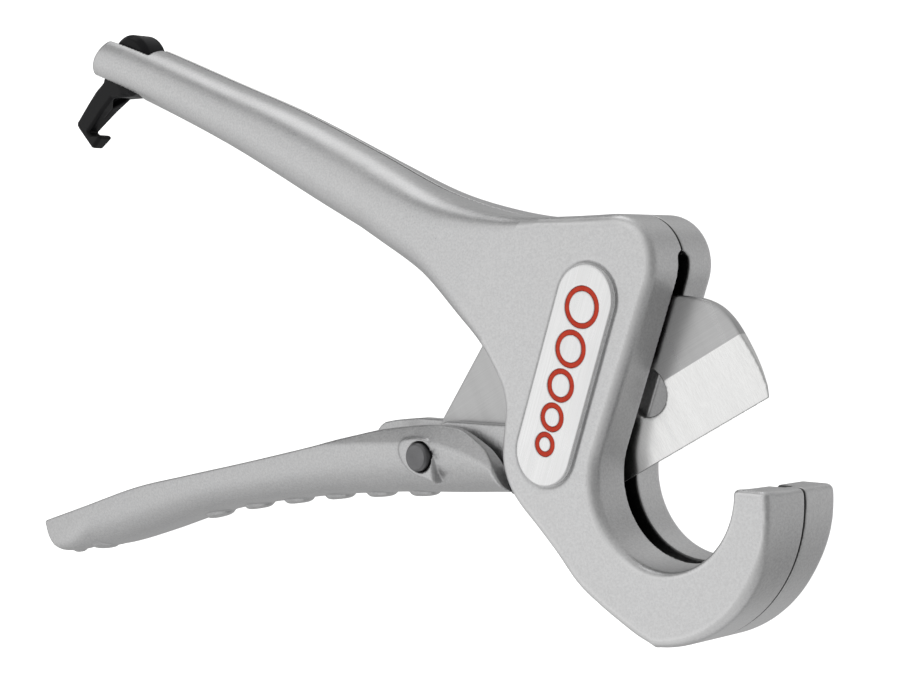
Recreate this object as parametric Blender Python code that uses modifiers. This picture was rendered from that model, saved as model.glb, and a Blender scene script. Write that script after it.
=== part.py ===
"""Single-stroke pipe cutter for plastic pipe, lying on its far side, handles open.

Every outline is drawn in millimetres from the main pivot: X runs towards the hook,
Y from the lower handle up to the upper handle, and Z is counted from the mid-plane
where the two halves of the body meet. The far side of the body rests on Z = 0.
"""
import math

import bmesh
import bpy
from mathutils import Vector

MM = 0.001

# Driving dimensions, in millimetres.
BODY_THICKNESS = 24.5
HALF = BODY_THICKNESS / 2
SEAM_GAP = 0.3
EDGE_ROUND = 3.0
FIT_GAP = 0.3

MOUTH_RADIUS = 19.0
MOUTH_CENTRE = (38.2, -3.9)
HOOK_RADIUS = 33.7
HOOK_CENTRE = (32.5, -8.0)
CROWN_RADIUS = 9.6
CROWN_CENTRE = (25.0, 45.4)
FRONT_ANGLE = 160.9
TIP_LEVEL = -4.3

HANDLE_SWING = 42.5
BLADE_THICKNESS = 2.5
BLADE_REACH = 62.0
SLOT_HALF = 2.1
BEVEL_WIDTH = 16.2
EDGE_ANGLE = 27.6
EDGE_OFFSET = 13.3
EDGE_FLAT = 0.3

PIVOT_RADIUS = 4.0
BUSH_RADIUS = 5.8
EAR_INNER = 1.6
EAR_OUTER = 5.6
EAR_RADIUS = 9.6
CAVITY_HALF = 6.8
CHEEK_END_RADIUS = 13.8
CHANNEL_WALL = 2.6
WEB_THICKNESS = 2.2

BUTTON_AT = (-36.5, -3.5)
BUTTON_RADIUS = 3.5
BUTTON_PROUD = 1.7
BUTTON_HOLE_RADIUS = 4.1

LATCH_AT = (-158.9, 100.8)
LATCH_HUB_RADIUS = 8.7
LATCH_HALF = 4.4
LATCH_SLOT_HALF = 5.2

BADGE_LOW = (3.4, 0.4)
BADGE_HIGH = (15.4, 35.9)
BADGE_RADIUS = 8.0
BADGE_PROUD = 1.0
BADGE_RECESS = 1.0

SCREW_RADIUS = 2.0
SCREW_HEAD_RADIUS = 3.5
SCREW_HEAD_HEIGHT = 3.2
# Place of each body screw, and how far the far face lies from the mid-plane there.
BODY_SCREWS = [((20.0, 50.6), 12.25), ((22.0, -29.0), 12.25), ((-40.0, 51.5), 11.0), ((-128.0, 89.0), 8.3)]
DOWELS = [(-75.0, 67.3), (36.0, -33.5)]

# The pivot's place in the part's frame, whose origin is below the middle of the box.
PIVOT = Vector((61.7 * MM, -34.41 * MM, HALF * MM))

CAST = ("cast_aluminium", (0.62, 0.62, 0.62), 0.45, 1.0)
BADGE_METAL = ("brushed_badge", (0.80, 0.80, 0.79), 0.28, 1.0)
BLADE_STEEL = ("blade_steel", (0.70, 0.70, 0.70), 0.25, 1.0)
DARK_STEEL = ("dark_steel", (0.16, 0.16, 0.17), 0.40, 1.0)
BRIGHT_STEEL = ("zinc_steel", (0.55, 0.55, 0.57), 0.35, 1.0)
SPRING_STEEL = ("spring_steel", (0.30, 0.30, 0.32), 0.35, 1.0)
BRONZE = ("bronze", (0.60, 0.42, 0.22), 0.40, 1.0)
BLACK_PLASTIC = ("black_plastic", (0.02, 0.02, 0.022), 0.50, 0.0)


# ---- scene, materials and collections -------------------------------------------------

def clear_scene():
    for obj in list(bpy.data.objects):
        bpy.data.objects.remove(obj, do_unlink=True)


def make_collection(name):
    collection = bpy.data.collections.new(name)
    bpy.context.scene.collection.children.link(collection)
    return collection


def make_material(name, finish):
    _, colour, roughness, metallic = finish
    material = bpy.data.materials.new(name + "_" + finish[0])
    material.use_nodes = True
    shader = material.node_tree.nodes["Principled BSDF"]
    shader.inputs["Base Color"].default_value = (*colour, 1.0)
    shader.inputs["Roughness"].default_value = roughness
    shader.inputs["Metallic"].default_value = metallic
    return material


def make_empty(name, place, parent=None):
    empty = bpy.data.objects.new(name, None)
    empty.empty_display_size = 0.01
    empty.location = place
    empty.parent = parent
    parts.objects.link(empty)
    return empty


def place_part(name, mesh, finish, parent):
    """Puts a mesh in the scene as one named sub-part, riding on its parent empty."""
    obj = bpy.data.objects.new(name, mesh)
    mesh.name = name
    mesh.materials.clear()
    mesh.materials.append(make_material(name, finish))
    mesh.shade_smooth()
    mesh.set_sharp_from_angle(angle=math.radians(32))
    obj.parent = parent
    parts.objects.link(obj)
    return obj


def place_cutter(name, mesh, parent):
    obj = bpy.data.objects.new(name, mesh)
    obj.display_type = "WIRE"
    obj.hide_render = True
    obj.parent = parent
    cutters.objects.link(obj)
    return obj


def combine(obj, tool, operation):
    modifier = obj.modifiers.new(operation.lower() + "_" + tool.name, "BOOLEAN")
    modifier.operation = operation
    modifier.object = tool
    modifier.solver = "EXACT"


# ---- outlines ---------------------------------------------------------------------------

def arc(centre, radius, start, end, steps):
    """Points from one angle to another, in degrees, both ends included."""
    angles = [math.radians(start + (end - start) * i / steps) for i in range(steps + 1)]
    return [(centre[0] + radius * math.cos(a), centre[1] + radius * math.sin(a)) for a in angles]


def smooth_through(points, steps):
    """A Catmull-Rom curve through the points, the ends included."""
    ends = [points[0]] + list(points) + [points[-1]]
    curve = []
    for a, b, c, d in zip(ends, ends[1:], ends[2:], ends[3:]):
        for i in range(steps):
            t = i / steps
            curve.append(tuple(
                0.5 * (2 * b[k] + (c[k] - a[k]) * t + (2 * a[k] - 5 * b[k] + 4 * c[k] - d[k]) * t * t
                       + (3 * b[k] - a[k] - 3 * c[k] + d[k]) * t ** 3)
                for k in range(2)))
    curve.append(tuple(points[-1]))
    return curve


def turn(point, degrees):
    angle = math.radians(degrees)
    x, y = point
    return (x * math.cos(angle) - y * math.sin(angle), x * math.sin(angle) + y * math.cos(angle))


def stadium(low, high, radius, steps):
    """A round-ended bar outline between two centres."""
    along = math.degrees(math.atan2(high[1] - low[1], high[0] - low[0]))
    upper = arc(high, radius, along - 90, along + 90, steps)
    lower = arc(low, radius, along + 90, along + 270, steps)
    return upper + lower


# ---- meshes -----------------------------------------------------------------------------

def flat_mesh(outline, low, high):
    """An outline filled and given thickness from low to high, in millimetres."""
    curve = bpy.data.curves.new("outline", "CURVE")
    curve.dimensions = "2D"
    curve.fill_mode = "BOTH"
    curve.extrude = (high - low) / 2 * MM
    spline = curve.splines.new("POLY")
    spline.points.add(len(outline) - 1)
    for point, (x, y) in zip(spline.points, outline):
        point.co = (x * MM, y * MM, 0.0, 1.0)
    spline.use_cyclic_u = True
    drawn = bpy.data.objects.new("outline", curve)
    bpy.context.scene.collection.objects.link(drawn)
    evaluated = drawn.evaluated_get(bpy.context.evaluated_depsgraph_get())
    mesh = bpy.data.meshes.new_from_object(evaluated)
    bpy.data.objects.remove(drawn, do_unlink=True)
    form = bmesh.new()
    form.from_mesh(mesh)
    bmesh.ops.remove_doubles(form, verts=form.verts, dist=0.01 * MM)
    bmesh.ops.dissolve_limit(form, angle_limit=math.radians(0.5), verts=form.verts, edges=form.edges)
    bmesh.ops.translate(form, verts=form.verts, vec=(0, 0, (low + high) / 2 * MM))
    bmesh.ops.recalc_face_normals(form, faces=form.faces)
    form.to_mesh(mesh)
    form.free()
    return mesh


def round_mesh(radius, low, high, centre=(0.0, 0.0), segments=32):
    """A plain cylinder along Z."""
    form = bmesh.new()
    bmesh.ops.create_cone(form, cap_ends=True, segments=segments, radius1=radius * MM,
                          radius2=radius * MM, depth=(high - low) * MM)
    place = (centre[0] * MM, centre[1] * MM, (low + high) / 2 * MM)
    bmesh.ops.translate(form, verts=form.verts, vec=place)
    mesh = bpy.data.meshes.new("round")
    form.to_mesh(mesh)
    form.free()
    return mesh


def profile_mesh(profile, closed):
    """A turned part's profile in the XZ plane, ready for its Screw modifier."""
    form = bmesh.new()
    corners = [form.verts.new((r * MM, 0.0, z * MM)) for r, z in profile]
    for a, b in zip(corners, corners[1:]):
        form.edges.new((a, b))
    if closed:
        form.edges.new((corners[-1], corners[0]))
    mesh = bpy.data.meshes.new("profile")
    form.to_mesh(mesh)
    form.free()
    return mesh


def add_turning(obj, steps):
    screw = obj.modifiers.new("turned", "SCREW")
    screw.steps = steps
    screw.render_steps = steps
    screw.use_merge_vertices = True
    screw.merge_threshold = 0.00001
    screw.use_smooth_shade = True


def turned_part(name, profile, finish, parent, at=(0.0, 0.0), closed=False, steps=24):
    obj = place_part(name, profile_mesh(profile, closed), finish, parent)
    obj.location = (at[0] * MM, at[1] * MM, 0.0)
    add_turning(obj, steps)
    return obj


def turned_cutter(name, profile, parent, closed=False, steps=32):
    obj = place_cutter(name, profile_mesh(profile, closed), parent)
    add_turning(obj, steps)
    return obj


def washer_profile(inner, outer, low, high):
    return [(inner, high), (outer, high), (outer, low), (inner, low)]


def wire_mesh(route, wire_radius):
    """A wire of round section along a route of (x, y, z) points in millimetres."""
    curve = bpy.data.curves.new("wire", "CURVE")
    curve.dimensions = "3D"
    curve.bevel_depth = wire_radius * MM
    curve.bevel_resolution = 2
    curve.use_fill_caps = True
    spline = curve.splines.new("POLY")
    spline.points.add(len(route) - 1)
    for point, place in zip(spline.points, route):
        point.co = (*(c * MM for c in place), 1.0)
    drawn = bpy.data.objects.new("wire", curve)
    bpy.context.scene.collection.objects.link(drawn)
    evaluated = drawn.evaluated_get(bpy.context.evaluated_depsgraph_get())
    mesh = bpy.data.meshes.new_from_object(evaluated)
    bpy.data.objects.remove(drawn, do_unlink=True)
    form = bmesh.new()
    form.from_mesh(mesh)
    bmesh.ops.remove_doubles(form, verts=form.verts, dist=0.001 * MM)
    bmesh.ops.recalc_face_normals(form, faces=form.faces)
    form.to_mesh(mesh)
    form.free()
    return mesh


def loft_mesh(rings):
    """Skins closed rings of equal count, and caps both ends."""
    form = bmesh.new()
    rows = [[form.verts.new([c * MM for c in point]) for point in ring] for ring in rings]
    count = len(rows[0])
    for near, far in zip(rows, rows[1:]):
        for i in range(count):
            form.faces.new((near[i], near[(i + 1) % count], far[(i + 1) % count], far[i]))
    form.faces.new(rows[0][::-1])
    form.faces.new(rows[-1])
    bmesh.ops.recalc_face_normals(form, faces=form.faces)
    mesh = bpy.data.meshes.new("loft")
    form.to_mesh(mesh)
    form.free()
    return mesh


def power(value, exponent):
    return math.copysign(abs(value) ** exponent, value)


def oval_ring(top, bottom, half_thickness, squareness, count=28):
    """A super-elliptic section that touches its top and bottom points."""
    middle = [(a + b) / 2 for a, b in zip(top, bottom)]
    rise = [(a - b) / 2 for a, b in zip(top, bottom)]
    ring = []
    for i in range(count):
        angle = 2 * math.pi * (i + 0.5) / count
        up = power(math.cos(angle), 2 / squareness)
        across = power(math.sin(angle), 2 / squareness)
        ring.append((middle[0] + rise[0] * up, middle[1] + rise[1] * up, half_thickness * across))
    return ring


def trough_ring(x, top, bottom, half_thickness, squareness, count=18):
    """A section with a flat top and a round belly, square to X."""
    ring = []
    for i in range(count + 1):
        angle = math.pi * i / count
        across = power(math.cos(angle), 2 / squareness)
        down = power(math.sin(angle), 2 / squareness)
        ring.append((x, top - (top - bottom) * down, half_thickness * across))
    return ring


# ---- body -------------------------------------------------------------------------------

def head_outline():
    """The flat-sided head and hook, from the neck's top round to the neck's underside."""
    front = FRONT_ANGLE - 180
    crown = arc(CROWN_CENTRE, CROWN_RADIUS, 90, front, 8)
    seat = arc(MOUTH_CENTRE, MOUTH_RADIUS, FRONT_ANGLE, 358, 22)
    inner_corner = arc((58.7, TIP_LEVEL - 1.4), 1.4, 170, 90, 3)
    outer_corner = arc((64.4, TIP_LEVEL - 1.6), 1.6, 90, 10, 3)
    back = arc(HOOK_CENTRE, HOOK_RADIUS, 0, -84, 12)
    belly = smooth_through([(33.0, -41.3), (29.5, -39.9), (23.8, -37.0), (12.2, -29.8), (6.3, -23.2),
                            (-1.3, -16.2), (-5.9, -12.3)], 2)
    boss = smooth_through([(-8.9, -8.4), (-10.4, -5.0), (-10.9, -1.5), (-10.4, 4.0), (-9.8, 9.5),
                           (-10.6, 13.7), (-15.3, 21.6), (-20.0, 26.4)], 2)
    neck = smooth_through([(-14.0, 56.0), (-2.2, 54.8), (12.5, 54.6)], 2)
    return neck + crown + seat + inner_corner + outer_corner + back + belly + boss


def handle_rings():
    """Sections of the upper handle, from its round end to its square root in the head."""
    stations = [
        ((-169.6, 112.3), (-174.6, 98.6), 8.1, 2.0),
        ((-142.8, 102.9), (-148.2, 88.3), 8.3, 2.0),
        ((-114.4, 92.8), (-120.6, 77.2), 8.6, 2.1),
        ((-86.3, 82.7), (-93.9, 65.3), 9.3, 2.3),
        ((-56.9, 70.4), (-66.3, 51.9), 10.3, 2.7),
        ((-32.0, 60.2), (-43.0, 42.7), 11.5, 3.4),
        ((-14.0, 55.9), (-21.0, 26.9), 12.2, 6.0),
        ((-5.0, 53.0), (-8.0, 16.0), 11.6, 6.0),
    ]
    return [oval_ring(*station) for station in stations]


def blade_slot_outline():
    """Where the blade, its tail and its tip travel between the halves."""
    line = math.radians(EDGE_ANGLE - HANDLE_SWING)
    low = EDGE_OFFSET + 1.7
    foot = (math.sin(line) * low, -math.cos(line) * low)
    run = math.sqrt(BLADE_REACH ** 2 - low ** 2)
    end = (foot[0] + math.cos(line) * run, foot[1] + math.sin(line) * run)
    end_angle = math.degrees(math.atan2(end[1], end[0]))
    tip_path = arc((0, 0), BLADE_REACH, end_angle, 8, 10)
    top = arc((30.0, 44.4), 2.1, 20, 90, 3)
    tail_path = arc((0, 0), 46.5, 90, 145, 8)
    heel = arc((0, 0), low, 236, math.degrees(line) + 270, 4)
    return tip_path + [(60.0, 44.4)] + top + tail_path + [(-50.0, 0.0), (-50.0, -12.4)] + heel


def ear_cavity_outline():
    """Where the handle's two inner ears turn inside the body."""
    boss = arc((0, 0), EAR_RADIUS + 1.0, -142, 45, 14)
    return boss + [(-6.0, 14.6), (-17.0, 25.5), (-34.0, 32.0), (-50.0, 0.0), (-50.0, -14.0), (-9.5, -12.0)]


def half_box(name, side):
    """Covers everything on the other side of the seam."""
    gap = SEAM_GAP / 2
    far_edge = 20.0
    low, high = (-far_edge, gap) if side > 0 else (-gap, far_edge)
    outline = [(-200.0, -60.0), (90.0, -60.0), (90.0, 130.0), (-200.0, 130.0)]
    return place_cutter(name, flat_mesh(outline, low, high), datum)


def latch_slot_outline():
    """The fork in the upper handle's end that holds the latch."""
    along = -20.4
    corners = [(-26.0, -16.0), (9.0, -16.0), (9.0, 16.0), (-26.0, 16.0)]
    turned = [turn(corner, along) for corner in corners]
    return [(LATCH_AT[0] + x, LATCH_AT[1] + y) for x, y in turned]


def make_body_tools():
    """Cutters that both halves share."""
    tools = {
        "blade_slot": flat_mesh(blade_slot_outline(), -SLOT_HALF, SLOT_HALF),
        "ear_cavity": flat_mesh(ear_cavity_outline(), -CAVITY_HALF, CAVITY_HALF),
        "latch_slot": flat_mesh(latch_slot_outline(), -LATCH_SLOT_HALF, LATCH_SLOT_HALF),
        "latch_pin_hole": round_mesh(2.2, -7.3, 7.3, LATCH_AT, 20),
    }
    for i, place in enumerate(DOWELS):
        tools["dowel_hole_%d" % (i + 1)] = round_mesh(2.3, -5.4, 5.4, place, 20)
    return [place_cutter(name, mesh, datum) for name, mesh in tools.items()]


def make_half(name, side, tools):
    """One cast half: the handle's loft with the head joined on, cut back to its own side."""
    half = place_part(name, loft_mesh(handle_rings()), CAST, datum)
    head = place_cutter(name + "_head", flat_mesh(head_outline(), -HALF, HALF), datum)
    rounding = head.modifiers.new("edge_round", "BEVEL")
    rounding.width = EDGE_ROUND * MM
    rounding.segments = 3
    rounding.limit_method = "ANGLE"
    rounding.angle_limit = math.radians(60)
    combine(half, head, "UNION")
    combine(half, half_box(name + "_other_side", side), "DIFFERENCE")
    for tool in tools:
        combine(half, tool, "DIFFERENCE")
    return half


def make_body():
    tools = make_body_tools()
    near = make_half("body_half_near", 1, tools)
    far = make_half("body_half_far", -1, tools)

    recess = stadium(BADGE_LOW, BADGE_HIGH, BADGE_RADIUS + FIT_GAP, 10)
    spring_room = washer_profile(5.4, 9.3, 6.5, 10.2)
    near_tools = [
        place_cutter("badge_recess", flat_mesh(recess, HALF - BADGE_RECESS, HALF + 3), datum),
        turned_cutter("spring_room", spring_room, datum, closed=True),
        place_cutter("pivot_thread", round_mesh(3.4, 5.0, 10.4), datum),
    ]
    far_tools = [
        place_cutter("pivot_head_bore", round_mesh(6.8, -16.0, -HALF + 3.4), datum),
        place_cutter("pivot_shank_bore", round_mesh(PIVOT_RADIUS + 0.2, -10.0, -5.0), datum),
    ]
    for i, (place, face) in enumerate(BODY_SCREWS):
        tap = round_mesh(SCREW_RADIUS + 0.25, -1.0, 6.4, place, 20)
        bore = round_mesh(SCREW_RADIUS + 0.25, -face, 1.0, place, 20)
        seat = round_mesh(SCREW_HEAD_RADIUS + 0.3, -16.0, SCREW_HEAD_HEIGHT + 1.2 - face, place, 24)
        near_tools.append(place_cutter("screw_tap_%d" % (i + 1), tap, datum))
        far_tools.append(place_cutter("screw_bore_%d" % (i + 1), bore, datum))
        far_tools.append(place_cutter("screw_seat_%d" % (i + 1), seat, datum))
    for tool in near_tools:
        combine(near, tool, "DIFFERENCE")
    for tool in far_tools:
        combine(far, tool, "DIFFERENCE")


def make_badge():
    outline = stadium(BADGE_LOW, BADGE_HIGH, BADGE_RADIUS, 10)
    mesh = flat_mesh(outline, HALF - BADGE_RECESS + FIT_GAP, HALF + BADGE_PROUD)
    badge = place_part("badge_plate", mesh, BADGE_METAL, datum)
    edge = badge.modifiers.new("edge", "BEVEL")
    edge.width = 0.3 * MM
    edge.segments = 1
    edge.limit_method = "ANGLE"
    edge.angle_limit = math.radians(60)


# ---- fasteners and small parts of the body ----------------------------------------------

def make_fasteners():
    bolt = [(0, 10.1), (3.0, 10.1), (3.1, 6.5), (PIVOT_RADIUS, 6.4), (PIVOT_RADIUS, -9.1), (6.4, -9.1),
            (6.4, -11.4), (5.9, -11.9), (2.6, -11.9), (2.6, -10.2), (0, -10.2)]
    turned_part("pivot_bolt", bolt, BRIGHT_STEEL, datum, steps=32)
    for i, (place, face) in enumerate(BODY_SCREWS):
        under = SCREW_HEAD_HEIGHT + 0.9 - face
        crown = 0.9 - face
        profile = [(0, 6.0), (SCREW_RADIUS, 6.0), (SCREW_RADIUS, under), (SCREW_HEAD_RADIUS, under),
                   (SCREW_HEAD_RADIUS, crown + 0.3), (SCREW_HEAD_RADIUS - 0.3, crown), (1.6, crown),
                   (1.6, crown + 1.6), (0, crown + 1.6)]
        turned_part("body_screw_%d" % (i + 1), profile, DARK_STEEL, datum, at=place, steps=20)
    for i, place in enumerate(DOWELS):
        profile = [(0, 5.0), (1.7, 5.0), (2.0, 4.6), (2.0, -4.6), (1.7, -5.0), (0, -5.0)]
        turned_part("dowel_pin_%d" % (i + 1), profile, BRIGHT_STEEL, datum, at=place, steps=16)
    for side, name in ((1, "thrust_washer_near"), (-1, "thrust_washer_far")):
        low, high = sorted((side * 5.9, side * 6.5))
        turned_part(name, washer_profile(PIVOT_RADIUS + 0.3, 6.4, low, high), BRONZE, datum,
                    closed=True, steps=28)


def make_return_spring():
    """A torsion spring round the pivot, with one end bent down into the handle's near ear."""
    radius, wire, start = 7.35, 0.6, 150
    turns, steps_per_turn = 1.25, 20
    count = int(turns * steps_per_turn)
    coil = []
    for i in range(count + 1):
        angle = math.radians(start + 360 * i / steps_per_turn)
        height = 7.65 + 1.75 * i / count
        coil.append((radius * math.cos(angle), radius * math.sin(angle), height))
    entry = math.radians(start - 7)
    foot = (radius * math.cos(entry), radius * math.sin(entry))
    bent_end = [(*foot, 3.2), (*foot, 5.4), (*foot, 7.0)]
    place_part("return_spring", wire_mesh(bent_end + coil, wire), SPRING_STEEL, hinge)
    hole = round_mesh(0.9, 2.6, 7.0, foot, 12)
    return place_cutter("spring_end_hole", hole, hinge)


# ---- lower handle and blade -------------------------------------------------------------

# Height of the rims and of the belly along the lower handle, from its free end.
GRIP_STATIONS = [
    (-189.6, -32.8, -35.6), (-188.0, -32.2, -39.0), (-185.0, -31.2, -41.8), (-181.5, -30.0, -42.2),
    (-176.5, -28.5, -40.6), (-170.0, -26.5, -39.4),
    (-147.0, -19.4, -33.2), (-125.0, -14.4, -26.4), (-102.0, -9.5, -21.4), (-75.0, -3.4, -17.1),
    (-50.0, 2.6, -14.3), (-30.0, 4.2, -12.7), (-5.0, 4.6, -10.8),
]
GRIP_RIDGES = [-175.6, -116.8, -100.9, -85.3, -69.9, -55.1, -40.5]


def grip_value(x, column):
    """Rim or belly height at a place along the grip, between the stations."""
    for low, high in zip(GRIP_STATIONS, GRIP_STATIONS[1:]):
        if low[0] <= x <= high[0]:
            part = (x - low[0]) / (high[0] - low[0])
            return low[column] + (high[column] - low[column]) * part
    return GRIP_STATIONS[-1][column]


def ear_outline():
    """One inner ear: a round eye on the pivot and an arm back into the channel."""
    eye = arc((0, 0), EAR_RADIUS, -148, 148, 18)
    return eye + [(-34.0, 5.0), (-43.0, 0.5), (-50.0, -12.4), (-14.6, -10.6)]


def make_lower_handle(spring_hole):
    outer = [trough_ring(x, top, bottom, HALF, 3.2) for x, top, bottom in GRIP_STATIONS]
    handle = place_part("lower_handle", loft_mesh(outer), CAST, hinge)
    inner_half = HALF - CHANNEL_WALL
    stretch = [(-196.0, -34.4, -45.5)] + [s for s in GRIP_STATIONS if s[0] > -178] + [(0.0, 4.6, -10.6)]
    inner = [trough_ring(x, top + 6.0, bottom + WEB_THICKNESS, inner_half, 3.6) for x, top, bottom in stretch]
    cheek_end = round_mesh(CHEEK_END_RADIUS, -HALF - 1, HALF + 1, segments=40)
    rim_drop = smooth_through([(-30.0, 4.4), (-24.0, 3.6), (-19.5, 2.2), (-16.2, 0.4), (-13.9, -2.0)], 3)
    rim_drop += [(-10.0, -4.0), (0.0, -2.0), (0.0, 8.0), (-30.0, 8.0)]
    notch = [(-200.0, -50.0), (-172.0, -50.0), (-172.0, -20.0), (-200.0, -20.0)]
    for x in GRIP_RIDGES:
        ridge = round_mesh(6.0, -6.0, 6.0, (x, grip_value(x, 2) + 4.8), 24)
        combine(handle, place_cutter("grip_ridge_%d" % round(-x), ridge, hinge), "UNION")
    tools = {
        "handle_channel": loft_mesh(inner),
        "cheek_end": cheek_end,
        "rim_drop": flat_mesh(rim_drop, -HALF - 1, HALF + 1),
        "latch_notch": flat_mesh(notch, -5.7, 5.7),
        "button_hole": round_mesh(BUTTON_HOLE_RADIUS, 0.0, HALF + 1, BUTTON_AT, 28),
        "collar_room": round_mesh(5.0, EAR_OUTER + 0.1, 9.6, BUTTON_AT, 24),
        "clip_room": round_mesh(4.5, -9.3, -EAR_OUTER - 0.1, BUTTON_AT, 24),
    }
    for name, mesh in tools.items():
        combine(handle, place_cutter(name, mesh, hinge), "DIFFERENCE")
    for side in (1, -1):
        low, high = sorted((side * EAR_INNER, side * EAR_OUTER))
        name = "ear_near" if side > 0 else "ear_far"
        combine(handle, place_cutter(name, flat_mesh(ear_outline(), low, high), hinge), "UNION")
    bores = {
        "bush_bore": round_mesh(BUSH_RADIUS + 0.2, -7.0, 7.0, segments=28),
        "button_bore": round_mesh(BUTTON_RADIUS + 0.3, -7.0, 7.0, BUTTON_AT, 24),
        "blade_rivet_bore": round_mesh(2.3, -7.0, 7.0, (-19.0, -2.5), 20),
    }
    for name, mesh in bores.items():
        combine(handle, place_cutter(name, mesh, hinge), "DIFFERENCE")
    combine(handle, spring_hole, "DIFFERENCE")


def blade_outline():
    """Spine, tip, straight cutting edge, heel, and the tail that the handle holds."""
    edge = math.radians(EDGE_ANGLE)
    across = (math.sin(edge) * EDGE_OFFSET, -math.cos(edge) * EDGE_OFFSET)
    tip = (across[0] + math.cos(edge) * 58.1, across[1] + math.sin(edge) * 58.1)
    heel = (across[0] + math.cos(edge) * 2.5, across[1] + math.sin(edge) * 2.5)
    spine = smooth_through([(57.9, 16.3), (55.1, 20.4), (52.4, 24.5), (49.2, 28.8), (45.6, 32.6),
                            (41.6, 35.0), (36.5, 36.2), (30.0, 36.7)], 2)
    crown = arc((-13.5, 30.2), 6.5, 90, 150, 4)
    tail = arc(BUTTON_AT, 6.4, 160, 270, 6)
    eye = arc((0, 0), 10.3, 228, 275, 4)
    return [tip] + spine + crown + [(-38.8, 5.3)] + tail + [(-13.0, -8.1)] + eye + [heel]


def make_blade():
    half = BLADE_THICKNESS / 2
    blade = place_part("blade", flat_mesh(blade_outline(), -half, half), BLADE_STEEL, hinge)
    edge = math.radians(EDGE_ANGLE)
    slope = math.atan2(BLADE_THICKNESS - EDGE_FLAT, BEVEL_WIDTH)
    length, depth = 90.0, 20.0
    outline = [(-depth, -length / 2), (0.0, -length / 2), (0.0, length / 2), (-depth, length / 2)]
    grind = place_cutter("blade_grind", flat_mesh(outline, 0.0, 10.0), hinge)
    normal = (-math.sin(edge), math.cos(edge))
    reach = EDGE_OFFSET - BEVEL_WIDTH
    middle = 32.0
    grind.location = ((-normal[0] * reach + math.cos(edge) * middle) * MM,
                      (-normal[1] * reach + math.sin(edge) * middle) * MM, half * MM)
    grind.rotation_euler = (0.0, -slope, edge + math.pi / 2)
    combine(blade, grind, "DIFFERENCE")
    holes = {
        "blade_bush_hole": round_mesh(BUSH_RADIUS + 0.2, -3.0, 3.0, segments=28),
        "blade_window": round_mesh(5.8, -3.0, 3.0, (24.5, 14.8), 28),
        "blade_button_hole": round_mesh(BUTTON_RADIUS + 0.3, -3.0, 3.0, BUTTON_AT, 24),
        "blade_rivet_hole": round_mesh(2.3, -3.0, 3.0, (-19.0, -2.5), 20),
    }
    for name, mesh in holes.items():
        combine(blade, place_cutter(name, mesh, hinge), "DIFFERENCE")


def make_hinge_parts():
    bush = washer_profile(PIVOT_RADIUS + 0.2, BUSH_RADIUS, -5.5, 5.5)
    turned_part("pivot_bush", bush, BRONZE, hinge, closed=True, steps=28)
    rivet = [(0, 5.5), (2.0, 5.5), (2.0, -5.5), (0, -5.5)]
    turned_part("blade_rivet", rivet, BRIGHT_STEEL, hinge, at=(-19.0, -2.5), steps=20)


# ---- push button and latch --------------------------------------------------------------

def make_button():
    face = HALF + BUTTON_PROUD
    shank = [(0, face), (BUTTON_RADIUS - 0.5, face), (BUTTON_RADIUS, face - 0.5), (BUTTON_RADIUS, 9.3),
             (4.6, 9.3), (4.6, 8.6), (BUTTON_RADIUS - 0.3, 8.5), (BUTTON_RADIUS - 0.3, -5.9),
             (2.4, -6.0), (2.4, -6.7), (BUTTON_RADIUS - 0.3, -6.8), (BUTTON_RADIUS - 0.6, -7.0), (0, -7.0)]
    turned_part("blade_button", shank, DARK_STEEL, slide, steps=28)
    turned_part("button_clip", washer_profile(2.6, 4.2, -6.6, -6.1), SPRING_STEEL, slide, closed=True)
    turns, steps_per_turn, wire, radius = 2.0, 14, 0.3, 4.1
    count = int(turns * steps_per_turn)
    coil = []
    for i in range(count + 1):
        angle = math.radians(360 * i / steps_per_turn)
        coil.append((radius * math.cos(angle), radius * math.sin(angle), 6.2 + 1.9 * i / count))
    place_part("button_spring", wire_mesh(coil, wire), SPRING_STEEL, slide)


def latch_outline():
    """A round hub with an arm that ends in a hooked toe."""
    hub = arc((0, 0), LATCH_HUB_RADIUS, -70, 165, 18)
    arm = [(-12.6, -4.0), (-24.6, -14.5), (-25.9, -16.3), (-25.4, -17.5), (-19.4, -23.0), (-15.3, -23.3),
           (-9.9, -20.6), (-11.0, -19.6), (-14.2, -19.4), (-16.1, -18.5), (-3.1, -10.3), (0.2, -8.9)]
    return hub + arm


def make_latch():
    mesh = flat_mesh(latch_outline(), -LATCH_HALF, LATCH_HALF)
    latch = place_part("latch", mesh, BLACK_PLASTIC, latch_hinge)
    edge = latch.modifiers.new("edge", "BEVEL")
    edge.width = 0.6 * MM
    edge.segments = 1
    edge.limit_method = "ANGLE"
    edge.angle_limit = math.radians(60)
    combine(latch, place_cutter("latch_eye", round_mesh(2.3, -9.0, 9.0, segments=20), latch_hinge), "DIFFERENCE")
    pin = [(0, 7.0), (1.6, 7.0), (1.9, 6.6), (1.9, -6.6), (1.6, -7.0), (0, -7.0)]
    turned_part("latch_pin", pin, BRIGHT_STEEL, datum, at=LATCH_AT, steps=16)
    for side, name in ((1, "latch_washer_near"), (-1, "latch_washer_far")):
        low, high = sorted((side * 4.6, side * 5.0))
        turned_part(name, washer_profile(2.2, 5.0, low, high), SPRING_STEEL, latch_hinge, closed=True, steps=20)


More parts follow.
